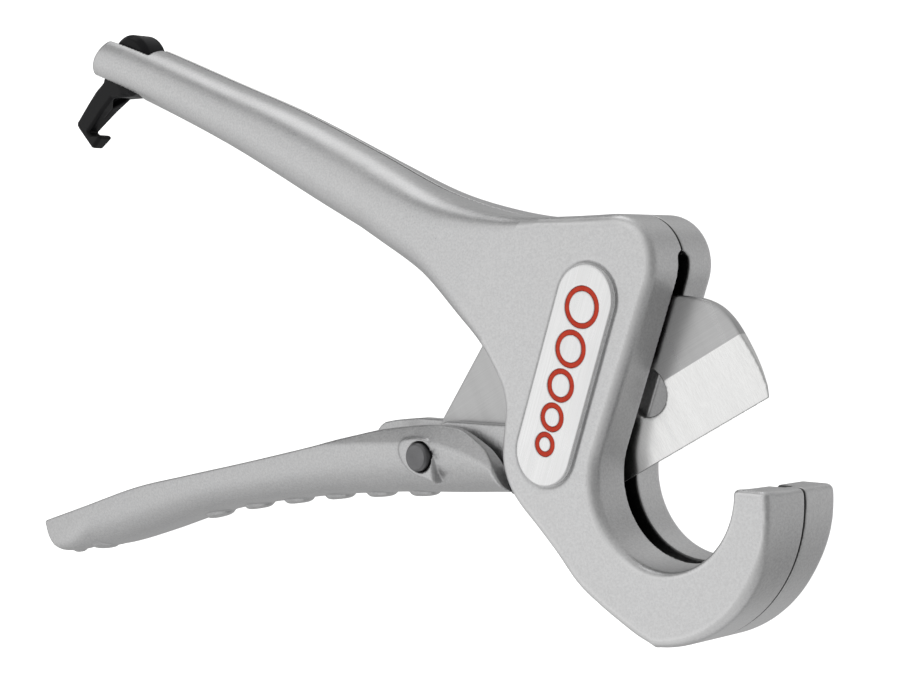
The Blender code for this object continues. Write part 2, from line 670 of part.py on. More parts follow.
clear_scene()
parts = make_collection("pipe_cutter")
cutters = make_collection("cutters")
datum = make_empty("pivot_datum", PIVOT)
hinge = make_empty("handle_hinge", (0, 0, 0), datum)
slide = make_empty("button_slide", (BUTTON_AT[0] * MM, BUTTON_AT[1] * MM, 0), hinge)
latch_hinge = make_empty("latch_hinge", (LATCH_AT[0] * MM, LATCH_AT[1] * MM, 0), datum)
make_body()
make_badge()
make_fasteners()
spring_hole = make_return_spring()
make_lower_handle(spring_hole)
make_blade()
make_hinge_parts()
make_button()
make_latch()
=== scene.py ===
"""Looks of a hand cutter for plastic pipe: cast halves, channel grip, ground blade, badge and latch.

Shapes are described as distance fields, in millimetres from the main pivot: X runs towards
the hook, Y from the lower handle to the upper handle, and Z up from the mid-plane.
"""

import math

import bpy
import numpy as np
from mathutils import Matrix, Vector


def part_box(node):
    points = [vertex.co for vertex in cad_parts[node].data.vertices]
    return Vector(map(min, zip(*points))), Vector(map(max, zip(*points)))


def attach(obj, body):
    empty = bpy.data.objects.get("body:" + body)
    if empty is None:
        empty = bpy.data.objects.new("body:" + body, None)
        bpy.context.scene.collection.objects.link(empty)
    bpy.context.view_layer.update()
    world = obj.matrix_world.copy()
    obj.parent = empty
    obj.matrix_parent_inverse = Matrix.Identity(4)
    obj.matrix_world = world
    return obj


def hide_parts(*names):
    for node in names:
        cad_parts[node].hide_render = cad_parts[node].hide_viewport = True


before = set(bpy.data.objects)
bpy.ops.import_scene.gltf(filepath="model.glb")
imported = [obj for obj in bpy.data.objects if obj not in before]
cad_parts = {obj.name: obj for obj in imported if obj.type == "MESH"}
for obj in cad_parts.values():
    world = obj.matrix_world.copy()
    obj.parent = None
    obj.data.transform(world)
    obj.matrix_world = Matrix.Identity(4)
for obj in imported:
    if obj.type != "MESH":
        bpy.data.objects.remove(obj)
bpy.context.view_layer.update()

MM = 0.001
BUSH_LOW, BUSH_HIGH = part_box("pivot_bush")
PIVOT = (BUSH_LOW + BUSH_HIGH) / 2
HALF = PIVOT.z / MM - 0.01
LATCH_LOW, LATCH_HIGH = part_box("latch_pin")
LATCH_AT = tuple(((LATCH_LOW + LATCH_HIGH) / 2 - PIVOT)[:2])
LATCH_AT = (LATCH_AT[0] / MM, LATCH_AT[1] / MM)
BUTTON_LOW, BUTTON_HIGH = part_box("blade_button")
BUTTON_AT = (((BUTTON_LOW.x + BUTTON_HIGH.x) / 2 - PIVOT.x) / MM,
             ((BUTTON_LOW.y + BUTTON_HIGH.y) / 2 - PIVOT.y) / MM)

# Body halves: half of the gap between them, the mouth's seat, and how far the mouth opens
# towards the near face.
SEAM = 0.2
SEAT_AT, SEAT_RADIUS = (38.2, -3.9), 19.0
DRAFT_X, DRAFT_Y = 2.0, 1.6

# Room inside the body: the blade's slot, the ears' cavity, the latch's fork, the screws' seats.
SLOT_TOP, SLOT_HALF = 46.9, 2.1
CLOSING_ANGLE, BLADE_SWEEP = 42.5, 62.0
CAVITY_HALF, FORK_HALF = 6.8, 4.95
BOLT_SEAT_RADIUS, BOLT_SEAT_DEPTH = 6.8, 3.4
SCREW_SEAT_RADIUS, SCREW_HEAD = 3.8, 3.5

# Blade: the cutting edge's direction in degrees and distance from the pivot, and its holes.
EDGE_ANGLE, EDGE_REACH, GRIND_WIDTH = 28.6, 14.0, 15.2
EDGE_START, EDGE_END, GRIND_DEPTH, EDGE_LAND = 2.5, 56.3, 2.2, 0.3
BLADE_HALF = 1.25
WINDOW_AT, WINDOW_RADIUS = (23.9, 14.5), 5.7
BUSH_HOLE_RADIUS = 6.0

# Grip: its front round the pivot, the ears' mid-height and half thickness, the latch's notch,
# the facet's lean in degrees, the boss's height, and the button's holes.
GRIP_FRONT_RADIUS, GRIP_FRONT_X = 13.8, -6.0
EAR_LEVEL, EAR_HALF = 3.6, 2.0
NOTCH_X, NOTCH_HALF = -172.0, 5.7
FACET_LEAN = 31
BOSS_TOP, BOSS_BASE = 12.5, 9.0
BUTTON_HOLE_RADIUS, COLLAR_ROOM_RADIUS, CLIP_ROOM_RADIUS = 3.8, 5.0, 4.8
ROOM_LEVEL = 7.6

# Badge, with heights above the near face, and each ring's place along it and radius.
BADGE_LOW, BADGE_HIGH, BADGE_RADIUS = (3.4, 0.4), (15.4, 35.9), 8.0
BADGE_PROUD, GROOVE_FLOOR, ENAMEL_FLOOR, ENAMEL_TOP = 0.95, 0.55, 0.58, 0.78
BADGE_RINGS = ((0.05, 2.3), (0.23, 2.8), (0.44, 3.3), (0.68, 3.8), (0.95, 4.3))
RING_HALF = 0.62


# ---- curves and outlines ------------------------------------------------------------------

def arc(centre, radius, start, end, step=0.8):
    """Points from one angle to another, in degrees, about step millimetres apart."""
    count = max(2, int(abs(math.radians(end - start)) * radius / step))
    angles = np.radians(np.linspace(start, end, count + 1))
    return np.c_[centre[0] + radius * np.cos(angles), centre[1] + radius * np.sin(angles)]


def smooth_through(points, steps=12):
    """A centripetal Catmull-Rom curve through the points, the ends included."""
    p = np.array(points, float)
    p = np.vstack([2 * p[0] - p[1], p, 2 * p[-1] - p[-2]])
    made = []
    for a, b, c, d in zip(p, p[1:], p[2:], p[3:]):
        knots = np.cumsum([0.0] + [math.sqrt(np.linalg.norm(n - m)) for m, n in ((a, b), (b, c),
        (c, d))])
        t0, t1, t2, t3 = knots
        for t in np.linspace(t1, t2, steps, endpoint=False):
            ab = a + (b - a) * (t - t0) / (t1 - t0)
            bc = b + (c - b) * (t - t1) / (t2 - t1)
            cd = c + (d - c) * (t - t2) / (t3 - t2)
            abc = ab + (bc - ab) * (t - t0) / (t2 - t0)
            bcd = bc + (cd - bc) * (t - t1) / (t3 - t1)
            made.append(abc + (bcd - abc) * (t - t1) / (t2 - t1))
    made.append(p[-2])
    return np.array(made)


def turned(points, degrees, about=(0.0, 0.0)):
    """Points turned about the origin and then moved to a place."""
    angle = math.radians(degrees)
    spin = np.array([[math.cos(angle), math.sin(angle)], [-math.sin(angle), math.cos(angle)]])
    return np.array(points, float) @ spin + np.array(about)


def smoothstep(low, high, value):
    """A soft step from 0 at low to 1 at high; low may be the larger."""
    t = np.clip((value - low) / (high - low), 0, 1)
    return t * t * (3 - 2 * t)


# ---- distance fields ------------------------------------------------------------------------

def depth_inside(outline, x, y):
    """Distance to a closed outline over the grid of x and y, positive inside."""
    gx, gy = np.meshgrid(x.astype(np.float32), y.astype(np.float32), indexing="ij")
    best = np.full(gx.shape, 1e9, np.float32)
    inside = np.zeros(gx.shape, bool)
    ring = np.asarray(outline, float)
    for (ax, ay), (bx, by) in zip(ring, np.roll(ring, -1, axis=0)):
        ex, ey = bx - ax, by - ay
        span = ex * ex + ey * ey
        if span < 1e-12:
            continue
        wx, wy = gx - np.float32(ax), gy - np.float32(ay)
        t = np.clip((wx * np.float32(ex) + wy * np.float32(ey)) / np.float32(span), 0, 1)
        dx, dy = wx - np.float32(ex) * t, wy - np.float32(ey) * t
        np.minimum(best, dx * dx + dy * dy, out=best)
        if ey != 0:
            rows = (ay <= y) != (by <= y)
            cut = ax + (y - ay) * ex / ey
            inside ^= rows[None, :] & (x[:, None] < cut[None, :])
    return np.where(inside, 1, -1) * np.sqrt(best)


def both(a, b, radius=0.0):
    """Where both fields are solid, with the outer edge rounded."""
    if radius == 0:
        return np.maximum(a, b)
    corner = np.sqrt(np.maximum(radius + a, 0) ** 2 + np.maximum(radius + b, 0) ** 2)
    return np.minimum(-radius, np.maximum(a, b)) + corner


def both_bevelled(a, b, width):
    """Where both fields are solid, with the outer edge cut off flat."""
    return np.maximum(np.maximum(a, b), (a + b + width) * math.sqrt(0.5))


def either(a, b, radius=0.0):
    """Where one of the fields is solid, with a fillet between them."""
    return -both(-a, -b, radius)


def without(a, b, radius=0.0):
    """The first field cut by the second, with the cut's edge rounded."""
    return both(a, -b, radius)


def skin(field, axes):
    """Surface points and faces where a field changes sign (dual surface of the grid)."""
    inside = field < 0
    cells = tuple(n - 1 for n in field.shape)
    corners = [(a, b, c) for a in (0, 1) for b in (0, 1) for c in (0, 1)]
    count = np.zeros(cells, np.uint8)
    for a, b, c in corners:
        count += inside[a:a + cells[0], b:b + cells[1], c:c + cells[2]]
    active = (count > 0) & (count < 8)
    where = np.argwhere(active)
    index = np.full(cells, -1, np.int64)
    index[active] = np.arange(len(where))
    value = {k: field[where[:, 0] + k[0], where[:, 1] + k[1], where[:, 2] + k[2]] for k in corners}
    place = {k: np.stack([axes[i][where[:, i] + k[i]] for i in range(3)], 1) for k in corners}
    total = np.zeros((len(where), 3))
    hits = np.zeros(len(where))
    for low in corners:
        for i in range(3):
            if low[i]:
                continue
            high = tuple(1 if j == i else low[j] for j in range(3))
            v0, v1 = value[low], value[high]
            crossed = (v0 < 0) != (v1 < 0)
            t = np.where(crossed, v0 / np.where(crossed, v0 - v1, 1), 0)
            point = place[low] + (place[high] - place[low]) * t[:, None]
            total += point * crossed[:, None]
            hits += crossed
    points = total / hits[:, None]
    faces = []
    for i in range(3):
        j, k = (i + 1) % 3, (i + 2) % 3
        first, second = np.moveaxis(inside, i, 0)[:-1], np.moveaxis(inside, i, 0)[1:]
        edges = np.moveaxis(first != second, 0, i)
        at = np.argwhere(edges)
        at = at[(at[:, j] > 0) & (at[:, k] > 0) & (at[:, j] < cells[j]) & (at[:, k] < cells[k])]
        leaving = inside[at[:, 0], at[:, 1], at[:, 2]]
        quad = []
        for dj, dk in ((-1, -1), (0, -1), (0, 0), (-1, 0)):
            cell = at.copy()
            cell[:, j] += dj
            cell[:, k] += dk
            quad.append(index[cell[:, 0], cell[:, 1], cell[:, 2]])
        quad = np.stack(quad, 1)
        faces.append(np.where(leaving[:, None], quad, quad[:, ::-1]))
    return points, np.concatenate(faces)


def settle(points, field, axes, rounds=2):
    """Moves surface points along the field's slope until they lie on its zero level."""
    slopes = np.gradient(field, *axes)
    reach = min(np.diff(a).min() for a in axes) * 0.8
    for _ in range(rounds):
        spots, parts = [], []
        for i in range(3):
            at = np.clip(np.searchsorted(axes[i], points[:, i]) - 1, 0, len(axes[i]) - 2)
            spots.append(at)
            parts.append((points[:, i] - axes[i][at]) / (axes[i][at + 1] - axes[i][at]))
        level, slope = 0, np.zeros_like(points)
        for a in (0, 1):
            for b in (0, 1):
                for c in (0, 1):
                    share = np.ones(len(points))
                    for part, side in zip(parts, (a, b, c)):
                        share = share * (part if side else 1 - part)
                    at = (spots[0] + a, spots[1] + b, spots[2] + c)
                    level = level + share * field[at]
                    for i in range(3):
                        slope[:, i] += share * slopes[i][at]
        step = -level[:, None] * slope / np.maximum((slope ** 2).sum(1), 0.05)[:, None]
        length = np.linalg.norm(step, axis=1, keepdims=True)
        points = points + step * np.minimum(1, reach / np.maximum(length, 1e-9))
    return points


def mesh_from(points, faces, name):
    """A mesh of quads."""
    mesh = bpy.data.meshes.new(name)
    mesh.vertices.add(len(points))
    mesh.vertices.foreach_set("co", np.asarray(points, np.float32).ravel())
    mesh.loops.add(faces.size)
    mesh.loops.foreach_set("vertex_index", faces.astype(np.int32).ravel())
    mesh.polygons.add(len(faces))
    mesh.polygons.foreach_set("loop_start", np.arange(0, faces.size, faces.shape[1], dtype=np.int32))
    mesh.update(calc_edges=True)
    mesh.validate()
    return mesh


def piece(name, mesh, body, material, replaces=(), faces=None):
    """Puts a mesh in the scene as a piece of the object, thinned to about so many faces."""
    obj = bpy.data.objects.new(name, mesh)
    bpy.context.scene.collection.objects.link(obj)
    triangles = sum(len(p.vertices) - 2 for p in mesh.polygons)
    if faces and triangles > faces:
        thin = obj.modifiers.new("thin", "DECIMATE")
        thin.ratio = faces / triangles
        evaluated = obj.evaluated_get(bpy.context.evaluated_depsgraph_get())
        obj.data = bpy.data.meshes.new_from_object(evaluated)
        obj.modifiers.clear()
    obj.data.name = name
    obj.data.materials.clear()
    obj.data.materials.append(material)
    obj.data.shade_smooth()
    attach(obj, body)
    if replaces:
        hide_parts(*replaces)
    return obj


def solid(name, field, axes, body, material, replaces=(), faces=None, mirror=False,
          at=(0, 0, 0)):
    """A piece made from a distance field."""
    points, quads = skin(field, axes)
    points = settle(points, field, axes)
    if mirror:
        points[:, 2] *= -1
        quads = quads[:, ::-1]
    points = (points + np.array(at)) * MM + np.array(PIVOT)
    return piece(name, mesh_from(points, quads, name), body, material, replaces, faces)


def axis(low, high, step):
    """Grid positions from low up to at least high."""
    return np.arange(low, high + step, step)


# ---- materials --------------------------------------------------------------------------------

class Surface:
    """A Principled material with helpers for procedural detail in object space."""

    def __init__(self, name, colour, roughness, metallic):
        self.material = bpy.data.materials.new(name)
        self.material.use_nodes = True
        self.tree = self.material.node_tree
        self.shader = self.tree.nodes["Principled BSDF"]
        self.shader.inputs["Base Color"].default_value = (*colour, 1)
        self.shader.inputs["Roughness"].default_value = roughness
        self.shader.inputs["Metallic"].default_value = metallic
        self.coords = self.node("ShaderNodeTexCoord").outputs["Object"]

    def node(self, kind, **settings):
        made = self.tree.nodes.new(kind)
        for key, value in settings.items():
            setattr(made, key, value)
        return made

    def link(self, source, target):
        self.tree.links.new(source, target)

    def stretched(self, direction, ratio):
        """Coordinates squeezed along a direction in the XY plane, so that grain runs along it."""
        turn = self.node("ShaderNodeMapping")
        turn.inputs["Rotation"].default_value = (0, 0, -math.radians(direction))
        squeeze = self.node("ShaderNodeMapping")
        squeeze.inputs["Scale"].default_value = (ratio, 1, 1)
        self.link(self.coords, turn.inputs["Vector"])
        self.link(turn.outputs["Vector"], squeeze.inputs["Vector"])
        return squeeze.outputs["Vector"]

    def noise(self, size_mm, detail=2.0, coords=None, roughness=0.5):
        made = self.node("ShaderNodeTexNoise")
        made.inputs["Scale"].default_value = 1000.0 / size_mm
        made.inputs["Detail"].default_value = detail
        made.inputs["Roughness"].default_value = roughness
        self.link(coords or self.coords, made.inputs["Vector"])
        return made.outputs["Fac"]

    def ramp(self, value, low, high, to_low, to_high):
        made = self.node("ShaderNodeMapRange")
        made.inputs["From Min"].default_value = low
        made.inputs["From Max"].default_value = high
        made.inputs["To Min"].default_value = to_low
        made.inputs["To Max"].default_value = to_high
        self.link(value, made.inputs["Value"])
        return made.outputs["Result"]

    def maths(self, operation, a, b):
        made = self.node("ShaderNodeMath", operation=operation)
        for socket, value in zip(made.inputs, (a, b)):
            if isinstance(value, (int, float)):
                socket.default_value = value
            else:
                self.link(value, socket)
        return made.outputs["Value"]

    def mix(self, factor, dark, light):
        made = self.node("ShaderNodeMix", data_type="RGBA")
        for socket, value in ((made.inputs[6], dark), (made.inputs[7], light)):
            if isinstance(value, tuple):
                socket.default_value = (*value, 1)
            else:
                self.link(value, socket)
        self.link(factor, made.inputs[0])
        return made.outputs[2]

    def bump(self, height, strength, distance_mm, below=None):
        made = self.node("ShaderNodeBump")
        made.inputs["Strength"].default_value = strength
        made.inputs["Distance"].default_value = distance_mm * MM
        self.link(height, made.inputs["Height"])
        if below is not None:
            self.link(below, made.inputs["Normal"])
        return made.outputs["Normal"]

    def set(self, **sockets):
        names = {"colour": "Base Color", "roughness": "Roughness", "normal": "Normal"}
        for key, value in sockets.items():
            self.link(value, self.shader.inputs[names[key]])


def painted_slot_shade_mask(s):
    """A mask of the flat faces that look at the blade and at the joint between the halves, away from
    the blade's window, where painted shade darkens the slot.
    """
    normal, place = s.node("ShaderNodeSeparateXYZ"), s.node("ShaderNodeSeparateXYZ")
    s.link(s.node("ShaderNodeNewGeometry").outputs["Normal"], normal.inputs[0])
    s.link(s.coords, place.inputs[0])
    level = s.ramp(s.maths("ABSOLUTE", normal.outputs["Z"], 0), 0.6, 0.85, 0, 1)
    height = s.maths("ABSOLUTE", s.maths("SUBTRACT", place.outputs["Z"], PIVOT.z), 0)
    middle = s.ramp(height, (SLOT_HALF + 0.15) * MM, (SLOT_HALF + 0.25) * MM, 1, 0)
    away = s.node("ShaderNodeVectorMath", operation="DISTANCE")
    s.link(s.coords, away.inputs[0])
    away.inputs[1].default_value = PIVOT + Vector((*WINDOW_AT, 0)) * MM
    by_window = s.ramp(away.outputs["Value"], 0.007, 0.009, 0, 1)
    return s.maths("MULTIPLY", s.maths("MULTIPLY", level, middle), by_window)


def cast_aluminium(name, tone):
    """Bead-blasted casting: a fine pebbled skin with soft clouds of tone, painted shade in the
    blade's slot, and near-white edge crests that are partly wear and partly painted highlight.
    """
    s = Surface(name, (tone,) * 3, 0.36, 1.0)
    grain = s.noise(0.55, 3, roughness=0.65)
    pits = s.noise(1.4, 2)
    cloud = s.noise(14, 3)
    soft = s.mix(s.ramp(cloud, 0.3, 0.7, 0, 1), (tone - 0.03, tone - 0.027, tone - 0.023),
                 (tone + 0.025,) * 3)
    speck = s.mix(s.ramp(grain, 0.35, 0.68, 0, 1), (tone - 0.14, tone - 0.14, tone - 0.135),
                  (tone + 0.12,) * 3)
    blend = s.node("ShaderNodeMix", data_type="RGBA")
    blend.inputs[0].default_value = 0.5
    s.link(soft, blend.inputs[6])
    s.link(speck, blend.inputs[7])
    # Near-white on the edge crests: partly wear from handling, partly a painted highlight along the
    # rims.
    edge_wear_and_highlight = s.node("ShaderNodeAttribute", attribute_name="edge_wear_and_highlight").outputs["Fac"]
    wear_and_highlight_amount = s.maths("MULTIPLY", edge_wear_and_highlight, s.ramp(cloud, 0.3, 0.7, 0.6, 0.95))
    rough = s.maths("ADD", s.ramp(cloud, 0.3, 0.7, 0.31, 0.37), s.ramp(grain, 0.3, 0.7, -0.04, 0.06))
    # Painted shade: the slot's faces and the joint between the halves are darkened towards
    # near-black.
    painted_slot_shade = s.maths("MULTIPLY", painted_slot_shade_mask(s), 0.92)
    worn_and_highlit_colour = s.mix(wear_and_highlight_amount, blend.outputs[2], (0.98, 0.98, 0.98))
    s.set(colour=s.mix(painted_slot_shade, worn_and_highlit_colour, (0.05, 0.05, 0.05)), roughness=rough)
    s.set(normal=s.bump(grain, 0.42, 0.1, s.bump(pits, 0.25, 0.1)))
    return s.material


def ground_steel(name, tone, roughness, direction, streak=0.06):
    """Steel with fine grinding lines along one direction."""
    s = Surface(name, (tone,) * 3, roughness, 1.0)
    lines = s.noise(0.28, 3, s.stretched(direction, 0.012), 0.65)
    broad = s.noise(2.4, 2, s.stretched(direction, 0.02))
    cloud = s.noise(12, 2)
    colour = s.mix(s.ramp(lines, 0.3, 0.7, 0, 1), (tone - streak,) * 3, (tone + streak,) * 3)
    rough = s.maths("ADD", s.ramp(broad, 0.3, 0.7, roughness - 0.04, roughness + 0.05),
                    s.ramp(cloud, 0.3, 0.7, -0.03, 0.03))
    s.set(colour=colour, roughness=rough, normal=s.bump(lines, 0.18, 0.02))
    return s.material


def blade_steel():
    """Dull rolled flats, with a bright band ground on the near side along the cutting edge."""
    s = Surface("ground_blade", (0.55, 0.55, 0.55), 0.28, 1.0)
    edge = math.radians(EDGE_ANGLE)
    inward = Vector((-math.sin(edge), math.cos(edge), 0))
    dot = s.node("ShaderNodeVectorMath", operation="DOT_PRODUCT")
    dot.inputs[1].default_value = inward
    s.link(s.coords, dot.inputs[0])
    line = inward.dot(PIVOT) + (GRIND_WIDTH - EDGE_REACH) * MM
    place = s.node("ShaderNodeSeparateXYZ")
    s.link(s.coords, place.inputs[0])
    near_side = s.ramp(place.outputs["Z"], PIVOT.z - 0.001, PIVOT.z - 0.0009, 0, 1)
    ground = s.maths("MULTIPLY", s.ramp(dot.outputs["Value"], line, line + 0.00012, 1, 0), near_side)
    rolled = s.noise(0.3, 3, s.stretched(EDGE_ANGLE, 0.012), 0.6)
    lines = s.noise(0.28, 3, s.stretched(EDGE_ANGLE + 90, 0.012), 0.65)
    broad = s.noise(3.0, 2, s.stretched(EDGE_ANGLE + 90, 0.03))
    flat = s.mix(s.ramp(rolled, 0.3, 0.7, 0, 1), (0.53, 0.53, 0.53), (0.59, 0.59, 0.59))
    bright = s.mix(s.ramp(lines, 0.3, 0.7, 0, 1), (0.88, 0.88, 0.875), (0.98, 0.98, 0.97))
    bevel_rough = s.ramp(broad, 0.3, 0.7, 0.20, 0.28)
    rolled_extra = s.ramp(ground, 0, 1, -0.07, 0)
    s.set(colour=s.mix(ground, flat, bright),
          roughness=s.maths("SUBTRACT", bevel_rough, rolled_extra))
    s.set(normal=s.bump(lines, 0.15, 0.02))
    return s.material


def moulded_plastic():
    """Black nylon with a faint moulded grain."""
    s = Surface("black_nylon", (0.008, 0.008, 0.009), 0.38, 0.0)
    s.shader.inputs["Specular IOR Level"].default_value = 0.15
    grain = s.noise(0.35, 2)
    cloud = s.noise(6, 2)
    colour = s.mix(s.ramp(cloud, 0.3, 0.7, 0, 1), (0.006, 0.006, 0.007), (0.010, 0.010, 0.011))
    rough = s.maths("ADD", s.ramp(cloud, 0.3, 0.7, 0.32, 0.42), s.ramp(grain, 0.3, 0.7, -0.03, 0.03))
    s.set(colour=colour, roughness=rough, normal=s.bump(grain, 0.25, 0.04))
    return s.material


def enamel():
    """Orange-red enamel with a slightly uneven surface."""
    s = Surface("red_enamel", (0.62, 0.035, 0.015), 0.35, 0.0)
    s.shader.inputs["Specular IOR Level"].default_value = 0.2
    cloud = s.noise(1.6, 2)
    s.set(colour=s.mix(s.ramp(cloud, 0.3, 0.7, 0, 1), (0.76, 0.05, 0.02), (0.88, 0.075, 0.03)),
          roughness=s.ramp(cloud, 0.3, 0.7, 0.3, 0.42), normal=s.bump(cloud, 0.2, 0.03))
    return s.material


def small_metal(name, colour, roughness):
    """A plated or oiled metal for small parts, its tone and gloss a little uneven."""
    s = Surface(name, colour, roughness, 1.0)
    grain = s.noise(0.3, 3)
    cloud = s.noise(3, 2)
    dark = tuple(c * 0.85 for c in colour)
    s.set(colour=s.mix(s.ramp(cloud, 0.3, 0.7, 0, 1), dark, colour),
          roughness=s.ramp(grain, 0.3, 0.7, roughness - 0.05, roughness + 0.06),
          normal=s.bump(grain, 0.15, 0.02))
    return s.material


CAST = cast_aluminium("bead_blasted_aluminium", 0.73)
# The grip takes the same cast finish in a darker tone.
GRIP_CAST = cast_aluminium("bead_blasted_grip", 0.63)
BLADE = blade_steel()
BADGE = ground_steel("brushed_badge", 0.92, 0.27, 71.3, 0.04)
PLASTIC = moulded_plastic()
ENAMEL = enamel()
DARK_STEEL = small_metal("black_oxide", (0.22, 0.22, 0.225), 0.38)
ZINC = small_metal("zinc_plate", (0.55, 0.55, 0.57), 0.32)
SPRING = small_metal("spring_wire", (0.30, 0.30, 0.32), 0.35)
BRONZE = small_metal("sintered_bronze", (0.60, 0.42, 0.22), 0.42)


# ---- body halves ----------------------------------------------------------------------------------

def body_outline(draft):
    """The casting's outline from handle to hook and back, its mouth opened by part of the draft."""
    top = smooth_through([(-184.0, 115.6), (-169.6, 111.4), (-158.0, 108.0), (-145.0, 103.7),
                          (-117.3, 93.9), (-90.1, 84.3), (-61.5, 72.4), (-37.5, 62.0),
                          (-21.0, 57.3), (-9.0, 55.3), (2.0, 54.9), (12.0, 55.0), (22.0, 55.3)])
    crown = arc((22.4, 43.8), 11.5, 88, -19.1)
    shift = DRAFT_X * draft
    seat_end = 360 + math.degrees(math.asin((DRAFT_Y * draft - 1.59) / SEAT_RADIUS))
    seat = arc((SEAT_AT[0] - shift, SEAT_AT[1] - DRAFT_Y * draft), SEAT_RADIUS, 160.9, seat_end)
    inner_corner = arc((58.5 - shift, -5.6), 1.3, 175, 90, 0.4)
    outer_corner = arc((64.5 - shift, -5.9), 1.6, 90, 5, 0.4)
    back = arc((32.5, -8.0), 33.7, 2, -86)
    back[:, 0] -= shift * np.clip((back[:, 1] + 41.6) / 33.6, 0, 1)
    belly = smooth_through([(34.2, -41.8), (32.2, -40.9), (29.5, -39.9), (23.8, -37.0),
                            (18.1, -33.8), (12.2, -29.8), (6.0, -23.4), (0.1, -17.8), (-5.6, -12.6),
                            (-8.7, -8.7), (-10.3, -5.0), (-10.9, -1.5), (-10.6, 3.0), (-9.9, 9.5),
                            (-10.6, 13.7), (-12.3, 17.2), (-15.3, 21.4), (-19.6, 25.8),
                            (-28.1, 32.4), (-40.0, 40.9), (-58.5, 49.8), (-82.0, 60.3),
                            (-117.0, 76.2), (-156.5, 91.6), (-174.6, 97.7), (-190.0, 102.6)], 6)
    return np.vstack([top, crown, seat, inner_corner, outer_corner, back, belly])


def blade_slot_outline():
    """Where the blade travels between the halves."""
    line = 27.6 - CLOSING_ANGLE
    low = 15.0
    foot = np.array([math.sin(math.radians(line)), -math.cos(math.radians(line))]) * low
    run = math.sqrt(BLADE_SWEEP ** 2 - low ** 2)
    end = foot + np.array([math.cos(math.radians(line)), math.sin(math.radians(line))]) * run
    tip_path = arc((0, 0), BLADE_SWEEP, math.degrees(math.atan2(end[1], end[0])), 8)
    tail_path = arc((0, 0), 46.5, 90, 145)
    heel = arc((0, 0), low, 236, line + 270)
    return np.vstack([tip_path, [(60.0, SLOT_TOP), (30.0, SLOT_TOP)], tail_path,
                      [(-50.0, 0.0), (-50.0, -12.4)], heel])


def ear_cavity_outline():
    """Room inside the head for the ears, the return spring and the pivot's boss."""
    boss = arc((0, 0), 10.6, -142, 45)
    return np.vstack([boss, [(-6.0, 14.6), (-17.0, 25.5), (-34.0, 32.0), (-50.0, 0.0),
                             (-50.0, -14.0), (-9.5, -12.0)]])


def stadium_depth(low, high, radius, x, y):
    """Distance inside a round-ended bar."""
    gx, gy = np.meshgrid(x, y, indexing="ij")
    ex, ey = high[0] - low[0], high[1] - low[1]
    t = np.clip(((gx - low[0]) * ex + (gy - low[1]) * ey) / (ex * ex + ey * ey), 0, 1)
    return radius - np.hypot(gx - low[0] - ex * t, gy - low[1] - ey * t)


def cut_screw_seats(far, gx, gy, z):
    """The far half with seats for the heads of the pivot bolt and the four screws."""
    seat = np.hypot(gx, gy) - BOLT_SEAT_RADIUS
    far = without(far, np.maximum(seat[:, :, None], HALF - BOLT_SEAT_DEPTH - z), 0.3)
    for name in ("body_screw_1", "body_screw_2", "body_screw_3", "body_screw_4"):
        low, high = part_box(name)
        centre = ((low + high) / 2 - PIVOT) / MM
        floor = HALF - (low.z / MM + SCREW_HEAD)
        seat = np.hypot(gx - centre.x, gy - centre.y) - SCREW_SEAT_RADIUS
        far = without(far, np.maximum(seat[:, :, None], floor - z), 0.3)
    return far


def mark_worn_highlit_edges(half, x, y, depth, wide, thick):
    """Marks the crest of a half's tighter rounded edges, which the material paints near-white:
    partly wear from handling, partly a painted highlight along the rims.
    """
    points = np.zeros(len(half.data.vertices) * 3)
    half.data.vertices.foreach_get("co", points)
    points = (points.reshape(-1, 3) - np.array(PIVOT)) / MM
    i = np.clip(np.rint((points[:, 0] - x[0]) / (x[1] - x[0])).astype(int), 0, len(x) - 1)
    j = np.clip(np.rint((points[:, 1] - y[0]) / (y[1] - y[0])).astype(int), 0, len(y) - 1)
    reach = wide[i, j]
    inward = 1 - depth[i, j] / reach
    upward = 1 - (thick[i, j] - np.abs(points[:, 2])) / reach
    turn = np.degrees(np.arctan2(upward, inward))
    on_edge = (inward > 0.03) & (upward > 0.03) & (reach < 3.2)
    edge_wear_and_highlight = np.exp(-((turn - 60) / 15) ** 2) * on_edge
    layer = half.data.attributes.new("edge_wear_and_highlight", "FLOAT", "POINT")
    layer.data.foreach_set("value", edge_wear_and_highlight.astype(np.float32))


